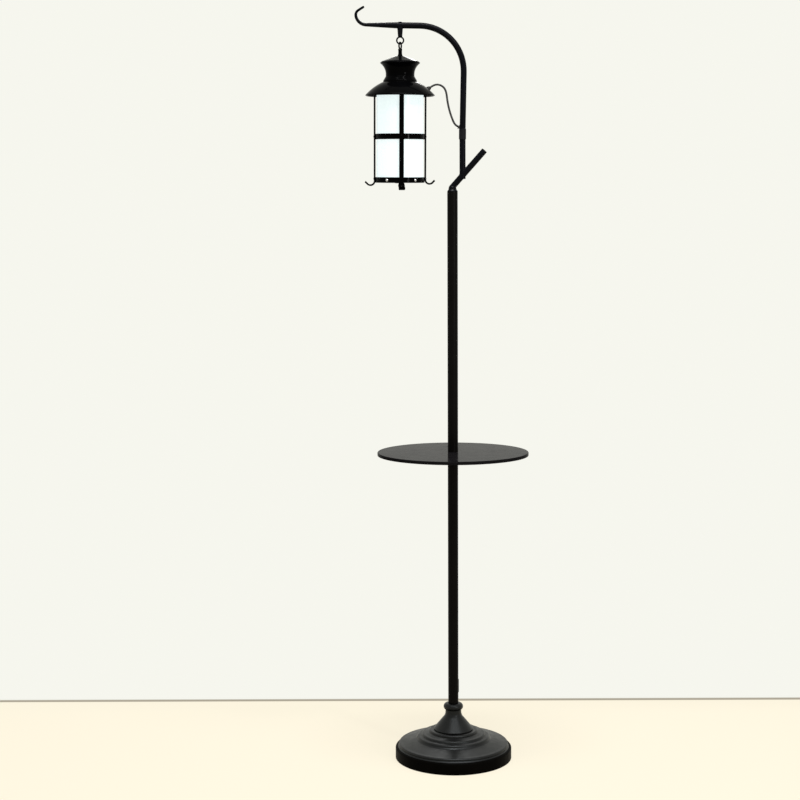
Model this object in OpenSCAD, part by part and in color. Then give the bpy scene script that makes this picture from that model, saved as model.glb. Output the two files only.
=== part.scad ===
// Lantern floor lamp: a round base and a pole that carries a small table and, from
// an arched arm, a four-strip lantern that hangs on two linked eyes.
// Millimetres, +Z up. The origin is the middle of the base's underside, on the axis
// of the pole. The arm reaches out along -X.

/* [Base] */
// Diameter of the base at the floor
base_d = 235; // [225:1:245]
// Height of the base's upright rim
rim_h = 21; // [18:1:22]
// Height of the flat top that the collar stands on
base_top = 58.5; // [57.5:0.5:60]
// Wall of the spun base cover
cover_wall = 1.2; // [0.8:0.1:1.5]
// Thickness of the felt under the base
pad_h = 2.5; // [2:0.5:3]
// Diameter of the collar's foot
collar_d = 79.4; // [76:0.2:81]
// Height of the collar over the flat top
collar_h = 54.5; // [50:0.5:60]

/* [Pole and table] */
// Outer diameter of the pole
pole_d = 20.6; // [20:0.2:22]
// Wall of the pole
pole_wall = 1.5; // [1:0.1:2]
// Height of the table's top face
table_z = 626; // [560:1:680]
// Diameter of the table
table_d = 302; // [260:2:340]
// Height of the table's turned-down edge
table_edge = 6.4; // [5.6:0.2:8]
// Thickness of the table's sheet
table_sheet = 1.2; // [0.8:0.1:1.5]
// Height where the pole's shoulder begins
pole_top = 1141.5; // [1120:0.5:1150]

/* [Arm] */
// Outer diameter of the arm's tubes
arm_d = 12; // [11.6:0.1:12.6]
// Wall of the arm's tubes
arm_wall = 1; // [0.8:0.1:1.2]
// Distance of the arm's upright from the pole's axis
upright_x = 19.9; // [19:0.1:21]
// Lean of the arm over the joint, away from the lantern
arm_lean = 1.2; // [0:0.1:1.5]
// Height of the arm's level part before it leans
arm_z = 1460.5; // [1455:0.1:1465]
// Radius of the arm's bend
bend_r = 87; // [85:0.5:95]
// Lean of the branch that stands on the pole
branch_lean = 41.7; // [40:0.1:44]
// Length of the branch
branch_l = 95; // [90:1:110]
// Height of the joint between the two uprights
joint_z = 1253; // [1245:1:1256]

/* [Hook] */
// Diameter of the bar where the hook's curl begins
hook_d = 6.8; // [6.5:0.1:8]
// Diameter at the hook's tip
hook_tip_d = 4.4; // [4:0.1:5]
// Radius of the hook's large curl
hook_r = 20.5; // [19:0.5:23]
// Radius of the tighter turn before the hook's tip
hook_turn_r = 10.5; // [9:0.5:12]

/* [Hanger] */
// Middle radius of the two linked eyes
eye_r = 6.6; // [6.4:0.1:7]
// Diameter of the eyes' wire
eye_wire = 2.8; // [2.4:0.1:3]
// Height of the upper eye's middle
eye_z = 1434.2; // [1433:0.1:1435]
// Turn of the lower eye about the vertical
eye_turn = 66.5; // [60:0.5:90]

/* [Lantern] */
// Distance of the lantern's axis from the pole's axis
reach = 101.4; // [101:0.2:103]
// Lean of the hanging lantern, whose foot the cord pushes back
lean_back = 3; // [0:0.5:4]
// Lean of the hanging lantern towards the free end of the arm
lean_side = 0.4; // [0:0.1:0.8]
// Turn of the lantern's four strips about its own axis
cage_turn = 3.5; // [0:0.5:6]
// Diameter of the cap
cap_d = 78; // [77:0.5:79]
// Height of the cap's edge
cap_z = 1391.2; // [1390.5:0.1:1392]
// Radius of the chimney's waist
waist_r = 28.1; // [27:0.1:28.5]
// Diameter of the roof's edge
roof_d = 135.4; // [132:0.2:137]
// Height of the roof's edge
roof_z = 1330; // [1329:0.1:1331]
// Thickness of the roof's sheet
roof_sheet = 1.2; // [0.8:0.1:1.4]
// Width of the lantern's strips
strip_w = 9.1; // [8.5:0.1:10]
// Thickness of the lantern's strips
strip_t = 3; // [2.5:0.1:3.2]
// Inner radius of the strips
cage_r = 48.5; // [48:0.1:49]
// Height of the lantern's bands
band_h = 10.9; // [10.3:0.1:12]
// Outer radius of the glass
glass_r = 46; // [45.5:0.1:46.3]
// Wall of the glass
glass_wall = 2.5; // [2:0.1:3]

/* [Cord] */
// Diameter of the short cord between the arm and the lantern
cord_d = 4; // [3.8:0.1:4.2]

/* [Hidden] */

$fn = 72;
black = [0.07, 0.07, 0.08];
gunmetal = [0.16, 0.16, 0.19];
gap = 0.05;

base_r = base_d / 2;
pole_r = pole_d / 2;
pole_bore = pole_r - pole_wall;
arm_r = arm_d / 2;
arm_bore = arm_r - arm_wall;
stud_r = 5;
insert_l = 25;
bend_z = arm_z - bend_r;
bend_x = upright_x - bend_r;
// Distance along the level part from the upright's axis to the hanger, and the arm's height there
hanger_run = (reach + upright_x + (arm_z - joint_z) * sin(arm_lean)) / cos(arm_lean);
hanger_z = joint_z + hanger_run * sin(arm_lean) + (arm_z - joint_z) * cos(arm_lean);
taper_x = upright_x - hanger_run - 8;
hook_x = upright_x - hanger_run - 66.2;
hook_spigot_x = taper_x + 28;
sleeve_h = 20;
sleeve_r = 7;
hanger_pin_r = 3.5;
wire = eye_wire / 2;
eye_gap = 0.3;
lower_eye_z = eye_z - 2 * eye_r + eye_wire + eye_gap;
hinge_z = eye_z - eye_r;
outlet_z = 146.5;
band_r = cage_r;
band_t = 1.9;
bottom_band_z = 1159.6;
mid_band_z = 1243.8;
glass_top = 1341.5;
glass_bottom = bottom_band_z + 1.5;
strip_mid = cage_r + strip_t / 2;
table_under = table_z - table_edge;
base_seat = base_top - cover_wall;

// The roof's domed skirt is an arc of radius dome_r round this centre (radius, height)
dome_r = 101;
dome_low = 42;
dome_high = 65;
roof_centre = [roof_d / 2 - dome_r * cos(dome_low), roof_z - dome_r * sin(dome_low)];
roof_top = roof_centre[1] + dome_r * sin(dome_high);
hub_z = roof_top - roof_sheet;
plate_sheet = 1.2;
plate_z = roof_centre[1] + sqrt(pow(dome_r - roof_sheet, 2) - pow(band_r - roof_centre[0], 2)) - gap;
holder_z = plate_z - plate_sheet;
holder_bore_z = holder_z - 18;
bulb_z = holder_bore_z - 27;
edge_bead = 1;
nut_h = 5;
rivet_r = 1.4;

// Where the short cord leaves the upright and where it enters the roof
gland_r = 56;
gland_turn = 11.5;
gland_tilt = 35;
gland_z = 1341.3;
exit_tilt = 26.6;
exit_x = upright_x - 8.4;
exit_z = 1267.4;

// The short cord's route, from the hole over the sleeve to the gland in the roof
cord_route = [
  [11.78, 0, 1267.6], [7.8, 0, 1269.7], [4.5, 0.3, 1273.1], [1.7, 0.9, 1278.4], [-0.9, 2, 1285.1],
  [-3.4, 3.7, 1292.6], [-5.6, 5.8, 1300.4], [-7.4, 8, 1308.2], [-8.8, 10.2, 1316],
  [-9.8, 12.4, 1323.6], [-10.6, 14.6, 1331], [-12, 16.8, 1338.1], [-15.2, 18.8, 1344.6],
  [-20.4, 20.3, 1349.1], [-26.6, 21.2, 1351.4], [-33, 21.5, 1351], [-38.7, 21.1, 1348.5],
  [-42.67, 20.19, 1345.61]
];

// ---- helpers ----

// Points on an arc round c, from angle a0 to angle a1
function arc(c, r, a0, a1, n = 12) =
  [for (i = [0:n]) let(a = a0 + (a1 - a0) * i / n) [c[0] + r * cos(a), c[1] + r * sin(a)]];

function flip(list) = [for (i = [len(list) - 1:-1:0]) list[i]];

// A round bar or tube from z0 to z1
module rod(r, z0, z1) {
  translate([0, 0, z0]) cylinder(h = z1 - z0, r = r);
}

module pipe(r, bore, z0, z1) {
  difference() {
    rod(r, z0, z1);
    rod(bore, z0 - 1, z1 + 1);
  }
}

// A rounded eye of wire that stands upright in the XZ plane
module wire_eye() {
  rotate([90, 0, 0]) rotate_extrude() translate([eye_r, 0]) circle(wire);
}

function unit(v) = v / norm(v);

// Direction of the route at point i; the two ends point along their own stretch
function heading(p, i) =
  i == 0 ? unit(p[1] - p[0]) :
  i == len(p) - 1 ? unit(p[i] - p[i - 1]) :
  unit(unit(p[i + 1] - p[i]) + unit(p[i] - p[i - 1]));

function ring(c, dir, r, sides) =
  let(u = unit(cross(dir, [0, 1, 0])), v = cross(dir, u))
  [for (k = [0:sides - 1]) c + r * (u * cos(360 * k / sides) + v * sin(360 * k / sides))];

// A round bar that follows a route, with a radius at each of its points
module swept(route, radii, sides) {
  rings = len(route);
  points = [for (i = [0:rings - 1]) each ring(route[i], heading(route, i), radii[i], sides)];
  walls = [for (i = [0:rings - 2], k = [0:sides - 1]) let(m = (k + 1) % sides)
    [i * sides + k, (i + 1) * sides + k, (i + 1) * sides + m, i * sides + m]];
  start = [for (k = [0:sides - 1]) k];
  end = [for (k = [sides - 1:-1:0]) (rings - 1) * sides + k];
  polyhedron(points, concat([start], walls, [end]));
}

// The arm over the joint leans about the joint
module at_arm() {
  translate([upright_x, 0, joint_z]) rotate([0, arm_lean, 0]) translate([-upright_x, 0, -joint_z])
    children();
}

// The axis of the hanger under the arm
module at_hanger() {
  translate([-reach, 0, 0]) children();
}

// The lantern hangs a little off plumb from the wire of the upper eye
module at_lantern() {
  translate([-reach, 0, hinge_z]) rotate([lean_back, lean_side, 0])
    translate([0, 0, -hinge_z]) rotate([0, 0, cage_turn]) children();
}

// The branch's own axis, as a bar of radius r from s0 to s1 along it
module along_branch(r, s0, s1) {
  translate([0, 0, pole_top + 9]) rotate([0, branch_lean, 0]) rod(r, s0, s1);
}

// ---- base ----

module base_pad() {
  color("dimgray") rod(base_r - 2.5, 0, pad_h);
}

// Cast weight: a disc with a raised boss, hollowed underneath for the nut
module base_weight() {
  weight_r = base_r - 4.5;
  boss_r = 20;
  color("slategray") difference() {
    rotate_extrude() polygon([
      [0, pad_h], [weight_r, pad_h], [weight_r, 18], [weight_r - 12, 22], [66, 28], [56, 36],
      [boss_r + 6, 42], [boss_r, base_seat], [0, base_seat]
    ]);
    rod(stud_r + 0.5, 0, base_top);
    rod(18, 0, 15);
  }
}

// Spun cover: upright rim, a beaded edge, a wide sloping band and three ridges
function cover_outline() = concat(
  [[base_r, 1], [base_r, rim_h]],
  arc([base_r - 2.5, rim_h], 2.5, 0, 80, 4),
  [[base_r - 5, 24], [base_r - 6.2, 25.6]],
  arc([107.6, 28.4], 3.4, -35, 72, 8),
  [[103, 32.6], [79.5, 38.6], [76, 39.6], [74.4, 41]],
  arc([69.4, 42], 4.2, 5, 75, 6),
  [[66.6, 46.8], [65, 47.2]],
  arc([60.6, 47.6], 3.9, 8, 80, 6),
  [[57, 52], [51.4, 53.6]],
  arc([45.6, 54.7], 3.8, -8, 90, 8)
);

module base_cover() {
  outline = cover_outline();
  // The inside follows the outside, a wall lower and a wall further in
  inside = [for (p = flip(outline)) [p[0] - cover_wall, p[1] > rim_h ? p[1] - cover_wall : p[1]]];
  color(black) rotate_extrude()
    polygon(concat([[stud_r + 0.6, base_top]], flip(outline), flip(inside), [[stud_r + 0.6, base_seat]]));
}

module base_washer() {
  color("silver") pipe(16, stud_r + 0.3, 13, 15);
}

module base_nut() {
  color("silver") difference() {
    translate([0, 0, 5]) cylinder(h = 8, d = 19.6, $fn = 6);
    rod(stud_r + gap, 4, 14);
  }
}

module base_stud() {
  color("silver") rod(stud_r, 3.5, base_top + 20);
}

// Turned collar: a lip, a hollow cone and a rounded bead round the foot of the pole
module collar() {
  lip_r = collar_d / 2;
  neck_r = 16.1;
  neck_z = base_top + 36;
  bead_z = base_top + 47.1;
  color(black) rotate_extrude() polygon(concat(
    [[pole_r + gap, base_top], [lip_r - 1, base_top]],
    arc([lip_r - 1.4, base_top + 1.6], 1.4, -60, 60, 6),
    arc([neck_r + 16, neck_z], 16, 225, 180, 8),
    arc([12.6, bead_z], 7.2, -64, 90, 12),
    [[pole_r + gap, base_top + collar_h - 0.2]]
  ));
}

// ---- pole and table ----

// The mains lead's hole, low on the back of the pole
module at_lead_hole() {
  translate([0, 0, outlet_z - 4]) rotate([0, 0, 45]) rotate([0, 110, 0]) children();
}

module lower_pole() {
  color(gunmetal) difference() {
    pipe(pole_r, pole_bore, base_top, table_under);
    at_lead_hole() cylinder(h = 20, r = 3.2);
  }
}

// Threaded plug in an end of the pole
module pole_insert(z0) {
  color("silver") pipe(pole_bore - gap, stud_r + gap, z0, z0 + insert_l);
}

// Oval outlet that lines the mains lead's hole
module cable_outlet() {
  half_w = 5;
  half_l = 11.3;
  color("black") difference() {
    translate([0, 0, outlet_z]) rotate([0, 0, 45]) rotate([0, 90, 0]) translate([0, 0, 5])
      linear_extrude(7.2) {
        square([2 * half_l, 2 * half_w], center = true);
        for (end = [-1, 1]) translate([end * half_l, 0]) circle(half_w);
      }
    rod(pole_r + gap, outlet_z - 50, outlet_z + 50);
    at_lead_hole() cylinder(h = 30, r = 3.2);
  }
}

module table_hub() {
  color("silver") pipe(32, stud_r + 0.5, table_under, table_z - table_sheet);
}

// Pressed disc with its edge turned down
module table_top() {
  r = table_d / 2;
  edge = 1.6;
  color(gunmetal) rotate_extrude() polygon(concat(
    [[stud_r + 0.6, table_z - table_sheet], [stud_r + 0.6, table_z]],
    arc([r - edge, table_z - edge], edge, 90, 0, 6),
    arc([r - 0.6, table_under + 0.6], 0.6, 0, -180, 6),
    arc([r - edge, table_z - edge], edge - table_sheet, 0, 90, 3)
  ));
}

module table_stud() {
  color("silver") rod(stud_r, table_under - 20, table_z + 20);
}

module upper_pole() {
  color(gunmetal) pipe(pole_r, pole_bore, table_z, pole_top);
}

// Turned cap on the pole: a spigot, a sloping shoulder, a neck and a low dome
module pole_cap() {
  neck_r = 7.8;
  color(gunmetal) difference() {
    rotate_extrude() polygon(concat(
      [[0, pole_top - 15], [pole_bore - gap, pole_top - 15], [pole_bore - gap, pole_top], [pole_r, pole_top]],
      [[pole_r, pole_top + 1], [neck_r, pole_top + 4.4], [neck_r, pole_top + 6.4]],
      [[neck_r - 0.7, pole_top + 6.8], [neck_r - 0.7, pole_top + 7.2], [neck_r, pole_top + 7.6]],
      arc([0, pole_top + 5.2], neck_r + 0.3, 20, 90, 8)
    ));
    along_branch(arm_r + gap, -3, 30);
    rod(4.5, pole_top - 20, pole_top + 8);
  }
}

// ---- arm ----

// Leaning tube, cut square and closed at its top end
module branch() {
  color(gunmetal) difference() {
    along_branch(arm_r, -3, branch_l);
    along_branch(arm_bore, -4, branch_l - 2);
    translate([upright_x, 0, 0]) rod(4, pole_top + 30, pole_top + 60);
  }
}

// Short upright, shaped to sit on the branch
module arm_stub() {
  foot_z = pole_top + 9 + upright_x / tan(branch_lean);
  color(gunmetal) difference() {
    translate([upright_x, 0, 0]) rod(arm_r, foot_z, joint_z);
    along_branch(arm_r + gap, 0, branch_l);
    translate([upright_x, 0, 0]) rod(arm_bore, foot_z - 1, joint_z + 1);
  }
}

// Sleeve over the joint; it sits halfway between the two tubes' directions
module arm_sleeve() {
  loose = 0.18;
  color(gunmetal) translate([upright_x, 0, joint_z]) rotate([0, arm_lean / 2, 0])
    pipe(sleeve_r, arm_r + loose, -sleeve_h / 2, sleeve_h / 2);
}

// The arm's path, as a bar of radius r: upright, quarter bend and level part
module arm_path(r, over) {
  joint_gap = 0.2;
  translate([upright_x, 0, 0]) rod(r, joint_z + joint_gap - over, bend_z);
  translate([bend_x, 0, bend_z]) rotate([90, 0, 0])
    rotate_extrude(angle = 90) translate([bend_r, 0]) circle(r);
  translate([taper_x - over, 0, arm_z]) rotate([0, 90, 0])
    cylinder(h = bend_x - taper_x + over, r = r);
}

// The cord leaves the upright on this line, upward and towards the lantern
module at_cord_exit() {
  translate([exit_x, 0, exit_z]) rotate([0, exit_tilt - 90, 0]) children();
}

module arm_tube() {
  color(gunmetal) difference() {
    at_arm() difference() {
      arm_path(arm_r, 0);
      arm_path(arm_bore, 1);
      at_cord_exit() translate([0, 0, -9]) cylinder(h = 12, r = 3);
    }
    hanger_hole();
  }
}

// The hole through the arm that the hanger's pin fills
module hanger_hole() {
  at_hanger() rod(hanger_pin_r + gap, hanger_z - 20, hanger_z + 20);
}

// The hook's centre line from inside the end of the bar to the tip, in the XZ plane
function hook_line() =
  let(
    curl = [hook_x, arm_z + hook_r],
    turn_from = 190,
    turn_to = 123,
    turn = curl + (hook_r - hook_turn_r) * [cos(turn_from), sin(turn_from)],
    tip = turn + hook_turn_r * [cos(turn_to), sin(turn_to)],
    tip_dir = [sin(turn_to), -cos(turn_to)]
  )
  concat(
    [[hook_x + 1, arm_z]],
    arc(curl, hook_r, 270, turn_from, 10),
    arc(turn, hook_turn_r, turn_from - 9, turn_to, 7),
    [for (along = [4, 8, 12, 13, 13.6]) tip + along * tip_dir]
  );

// Forged end: a plug in the tube, a long taper and a curl that thins out to a round tip
module arm_hook() {
  line = hook_line();
  last = len(line) - 1;
  round_off = [0.8, 0.4];
  radii = [for (i = [0:last]) let(t = i / last, r = hook_d / 2 * (1 - t) + hook_tip_d / 2 * t)
    i > last - 2 ? r * round_off[i - last + 1] : r - gap];
  color(gunmetal) difference() {
    at_arm() union() {
      translate([taper_x, 0, arm_z]) rotate([0, 90, 0])
        cylinder(h = hook_spigot_x - taper_x, r = arm_bore - gap);
      translate([hook_x, 0, arm_z]) rotate([0, 90, 0])
        cylinder(h = taper_x - hook_x, r1 = hook_d / 2, r2 = arm_r);
      swept([for (p = line) [p[0], 0, p[1]]], radii, 16);
    }
    hanger_hole();
  }
}

// Tapered stud under the arm, riveted through it, with the upper eye at its end
module hanger_eye() {
  color(gunmetal) {
    difference() {
      at_hanger() union() {
        rotate_extrude() polygon([
          [0, eye_z + 6], [2.8, eye_z + 6], [4.1, eye_z + 7.4], [5.2, hanger_z - 4], [0, hanger_z - 4]
        ]);
        translate([0, 0, hanger_z + arm_r - 2]) cylinder(h = 3.2, r1 = 6, r2 = 3);
      }
      at_arm() translate([taper_x - 30, 0, arm_z]) rotate([0, 90, 0])
        cylinder(h = 80, r = arm_r + gap);
    }
    at_hanger() {
      rod(hanger_pin_r, hanger_z - arm_r - 3, hanger_z + arm_r + 0.8);
      translate([0, 0, eye_z]) wire_eye();
    }
  }
}

// Rubber grommet in the upright's hole; the cord starts at its outer face
module arm_grommet() {
  skin = 0.2;
  color("black") at_arm() {
    difference() {
      at_cord_exit() translate([0, 0, -2]) cylinder(h = 2, r = 4.4);
      translate([upright_x, 0, 0]) rod(arm_r + gap, exit_z - 20, exit_z + 20);
      at_cord_exit() translate([0, 0, -3]) cylinder(h = 3 - skin, r = 1.9);
    }
    difference() {
      at_cord_exit() translate([0, 0, -4]) cylinder(h = 3.5, r = 3 - gap);
      at_cord_exit() translate([0, 0, -5]) cylinder(h = 5 - skin, r = 1.9);
    }
  }
}

// ---- cord ----

module head_cord() {
  color("black") swept(cord_route, [for (p = cord_route) cord_d / 2], 10);
}

// ---- lantern ----

// The lantern's eye, its waisted stem and the rod that clamps the whole head
module lantern_eye() {
  foot = cap_z + 13;
  color(black) at_lantern() {
    translate([0, 0, lower_eye_z]) rotate([0, 0, eye_turn]) wire_eye();
    rotate_extrude() polygon([
      [0, foot], [4.8, foot], [4.8, foot + 1], [3.8, foot + 5], [3.7, foot + 9],
      [4, foot + 13.1], [3.2, foot + 14.2], [0, foot + 14.2]
    ]);
    rod(3, hub_z - plate_sheet - nut_h - 1, foot + 1);
  }
}

// Spun cap: a low cone with a rolled edge
module cap() {
  edge = [cap_d / 2 - edge_bead, cap_z];
  slope = 21;
  color(black) at_lantern() rotate_extrude() polygon(concat(
    [[3.1, cap_z + 13], [8.6, cap_z + 13], [12, cap_z + 11.8], [36.2, cap_z + 3]],
    arc(edge, edge_bead, 90 - slope, -205, 10),
    [[35.7, cap_z + 2], [12, cap_z + 10.6], [8.6, cap_z + 11.9], [3.1, cap_z + 11.9]]
  ));
}

// Waisted chimney between the cap and the roof
module chimney() {
  wall = 1;
  waist_z = 1369.4;
  flare = 25.7;
  turn_z = 1366.9;
  turn_r = 5;
  slope = 31;
  foot_z = 1358.1;
  rise = cap_z - edge_bead - waist_z;
  color(black) at_lantern() rotate_extrude() polygon(concat(
    arc([waist_r + flare, waist_z], flare, 180 - asin(rise / flare), 180, 10),
    arc([waist_r + turn_r, turn_z], turn_r, 180, 180 + slope, 4),
    [[waist_r + 4.5, foot_z], [waist_r + 5.1, foot_z - 1.7], [waist_r + 5.3, roof_top]],
    [[waist_r + 4.3, roof_top], [waist_r + 4.1, foot_z - 2], [waist_r + 3.6, foot_z - 0.6]],
    arc([waist_r + turn_r, turn_z], turn_r + wall, 180 + slope, 180, 4),
    arc([waist_r + flare, waist_z], flare + wall, 180, 180 - asin(rise / (flare + wall)), 10)
  ));
}

// Spun roof: flat top, domed skirt and a rolled edge
module roof() {
  edge_r = 1.5;
  edge = roof_centre + (dome_r - edge_r) * [cos(dome_low), sin(dome_low)];
  inner_r = dome_r - roof_sheet;
  color(black) at_lantern() difference() {
    rotate_extrude() polygon(concat(
      [[3.1, roof_top]],
      arc(roof_centre, dome_r, dome_high, dome_low, 12),
      arc(edge, edge_r, dome_low - 20, -200, 10),
      arc(roof_centre, inner_r, dome_low + 1.2, asin((hub_z - roof_centre[1]) / inner_r), 12),
      [[3.1, hub_z]]
    ));
    at_gland() translate([0, 0, -8]) cylinder(h = 16, r = 3.4);
  }
}

// Place of the cord's gland on the skirt, in the lantern's own frame
module at_gland() {
  rotate([0, 0, gland_turn]) translate([gland_r, 0, gland_z]) rotate([0, 90 - gland_tilt, 0])
    children();
}

module roof_gland() {
  color("black") at_lantern() difference() {
    at_gland() union() {
      translate([0, 0, -3]) cylinder(h = 4, r = 3.4 - gap);
      translate([0, 0, 0.8]) cylinder(h = 2.2, r = 5);
      translate([0, 0, 3]) cylinder(h = 3.5, r1 = 4, r2 = 3);
    }
    at_gland() translate([0, 0, -5]) cylinder(h = 11.3, r = 1.9);
    rotate_extrude() polygon(concat(
      [[0, roof_z - 20]], arc(roof_centre, dome_r + gap, dome_high, dome_low, 12),
      [[roof_d / 2, roof_z - 20]]
    ));
  }
}

// Raised plate with a deep rim, which the strips are riveted to; its hub clamps the roof
module frame_plate() {
  rim = band_r;
  rim_h = 12;
  sheet = plate_sheet;
  color(black) at_lantern() difference() {
    rotate_extrude() polygon([
      [3.2, hub_z], [13, hub_z], [19, plate_z], [rim, plate_z], [rim, plate_z - rim_h],
      [rim - band_t, plate_z - rim_h], [rim - band_t, plate_z - sheet], [18.4, plate_z - sheet],
      [12.4, hub_z - sheet], [3.2, hub_z - sheet]
    ]);
    for (turn = [15:60:315]) rotate([0, 0, turn]) translate([33, 0, 0]) rod(5, plate_z - 5, plate_z + 5);
  }
}

module frame_nut() {
  top = hub_z - plate_sheet;
  color("silver") at_lantern() difference() {
    translate([0, 0, top - nut_h]) cylinder(h = nut_h, d = 11.5, $fn = 6);
    rod(3 + gap, top - nut_h - 1, top + 1);
  }
}

// One strip, on the +X side: straight bar, outward curl round a point at curl_z, and a round tip
module strip(curl_z) {
  curl_r = 8.3;
  tip_r = 6.5;
  lean = 45;
  tip_x = strip_mid + curl_r + curl_r * sin(lean);
  tip_z = curl_z - curl_r * cos(lean);
  translate([cage_r, -strip_w / 2, curl_z]) cube([strip_t, strip_w, 1341.5 - curl_z]);
  translate([strip_mid + curl_r, 0, curl_z]) rotate([90, 0, 0]) rotate([0, 0, 180])
    rotate_extrude(angle = 90 + lean) translate([curl_r, 0]) square([strip_t, strip_w], center = true);
  translate([tip_x, 0, tip_z]) rotate([0, -lean, 0])
    translate([0, 0, -strip_t / 2]) cylinder(h = strip_t, r = tip_r);
}

// The four curls end at slightly different heights
module placed_strip(turn, curl_z) {
  color(black) at_lantern() rotate([0, 0, turn]) difference() {
    strip(curl_z);
    at_rivets() translate([0, 0, -1]) cylinder(h = strip_t + 2, r = rivet_r + gap);
  }
}

module mid_band() {
  color(black) at_lantern() pipe(band_r, band_r - band_t, mid_band_z, mid_band_z + band_h);
}

// Bottom band with the inner ledge that the glass stands on
module bottom_band() {
  ledge_r = 40;
  color(black) at_lantern() rotate_extrude() polygon([
    [ledge_r, bottom_band_z], [band_r, bottom_band_z], [band_r, bottom_band_z + band_h],
    [band_r - band_t, bottom_band_z + band_h], [band_r - band_t, glass_bottom], [ledge_r, glass_bottom]
  ]);
}

// The three rivets of the strip on the +X side: at the plate's rim and at each band
module at_rivets() {
  for (z = [bottom_band_z + 8, mid_band_z + band_h / 2, plate_z - 6.5])
    translate([cage_r, 0, z]) rotate([0, 90, 0]) children();
}

module rivets() {
  color(black) at_lantern() for (turn = [0:90:270]) rotate([0, 0, turn]) at_rivets() {
    translate([0, 0, gap]) cylinder(h = strip_t, r = rivet_r);
    translate([0, 0, strip_t]) cylinder(h = 0.7, r1 = 2.6, r2 = 1.6);
  }
}

module glass() {
  color([0.95, 1, 1]) at_lantern() pipe(glass_r, glass_r - glass_wall, glass_bottom, glass_top);
}

// Four screws in the bottom band that steady the glass
module glass_screws() {
  head_z = bottom_band_z + 5.4;
  color("silver") at_lantern() for (turn = [55, 125, 235, 305]) rotate([0, 0, turn])
    translate([0, 0, head_z]) rotate([0, 90, 0]) translate([0, 0, band_r])
      cylinder(h = 1.6, r1 = 2.6, r2 = 1.9);
}

module lampholder() {
  top = holder_z;
  foot = top - 44;
  color("black") at_lantern() difference() {
    rotate_extrude() polygon([
      [0, top], [24, top], [24, top - 3], [19.5, top - 4], [19.5, top - 30], [21, top - 31],
      [21, top - 36], [19, top - 37], [19, foot], [0, foot]
    ]);
    rod(13.6, foot - 1, holder_bore_z);
  }
}

module bulb_cap() {
  top = holder_bore_z;
  color("silver") at_lantern() rotate_extrude() polygon([
    [0, top], [4.5, top], [6, top - 2.5], [13.2, top - 5], [13.2, bulb_z], [0, bulb_z]
  ]);
}

// Round lamp: a neck that swells into a ball, open to view from below
module bulb() {
  ball_r = 29;
  ball_z = 1226;
  color([1, 0.98, 0.92]) at_lantern() rotate_extrude() polygon(concat(
    [[0, bulb_z], [13, bulb_z], [13.6, bulb_z - 10]],
    arc([0, ball_z], ball_r, 45, -90, 20)
  ));
}

// ---- nodes ----

base_pad();
base_weight();
base_cover();
base_washer();
base_nut();
base_stud();
collar();
lower_pole();
pole_insert(base_top);  // lower_pole_foot
pole_insert(table_under - insert_l);  // lower_pole_head
cable_outlet();
table_hub();
table_top();
table_stud();
upper_pole();
pole_insert(table_z);  // upper_pole_foot
pole_cap();
branch();
arm_stub();
arm_sleeve();
arm_tube();
arm_hook();
hanger_eye();
arm_grommet();
head_cord();
lantern_eye();
cap();
chimney();
roof();
roof_gland();
frame_plate();
frame_nut();
placed_strip(270, 1155.8);  // strip_front
placed_strip(0, 1165.7);  // strip_right
placed_strip(90, 1163.9);  // strip_back
placed_strip(180, 1163.1);  // strip_left
mid_band();
bottom_band();
rivets();
glass();
glass_screws();
lampholder();
bulb_cap();
bulb();
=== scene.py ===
import bmesh
import bpy
from math import asin, cos, hypot, pi, radians, sin, sqrt
from mathutils import Matrix, Vector


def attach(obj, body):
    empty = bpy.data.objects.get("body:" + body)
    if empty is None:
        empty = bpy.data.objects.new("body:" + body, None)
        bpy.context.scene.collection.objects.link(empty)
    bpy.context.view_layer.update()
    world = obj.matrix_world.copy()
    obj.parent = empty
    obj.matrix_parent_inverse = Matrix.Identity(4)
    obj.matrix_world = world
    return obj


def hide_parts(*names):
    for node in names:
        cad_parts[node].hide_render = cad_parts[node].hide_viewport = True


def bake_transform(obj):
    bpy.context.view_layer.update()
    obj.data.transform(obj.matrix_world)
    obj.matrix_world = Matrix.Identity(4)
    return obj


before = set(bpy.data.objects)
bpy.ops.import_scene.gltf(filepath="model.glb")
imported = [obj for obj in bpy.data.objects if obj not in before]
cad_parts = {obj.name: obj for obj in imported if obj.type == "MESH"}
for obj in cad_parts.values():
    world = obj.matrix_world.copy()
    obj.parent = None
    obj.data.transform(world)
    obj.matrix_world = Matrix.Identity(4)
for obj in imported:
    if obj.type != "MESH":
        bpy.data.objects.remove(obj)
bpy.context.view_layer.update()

scene = bpy.context.scene
scene.view_settings.view_transform = "Standard"

# ---- The photographer's place ----
# The eye is a metre over the floor and three metres away, on the lantern's side of the pole,
# and looks slightly down, so that the base and the table show their tops and the roof its edge.
eye = bpy.data.cameras.new("eye")
eye.lens = 70.36
eye.sensor_width = 36
camera = bpy.data.objects.new("eye", eye)
eye_place = (-0.1052, -3.1, 1.030)
look_down = 5.522
roll = -0.287
camera.matrix_world = (
    Matrix.Translation(eye_place)
    @ Matrix.Rotation(radians(90 - look_down), 4, "X")
    @ Matrix.Rotation(radians(roll), 4, "Z")
)
scene.collection.objects.link(camera)
scene.camera = camera

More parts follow.
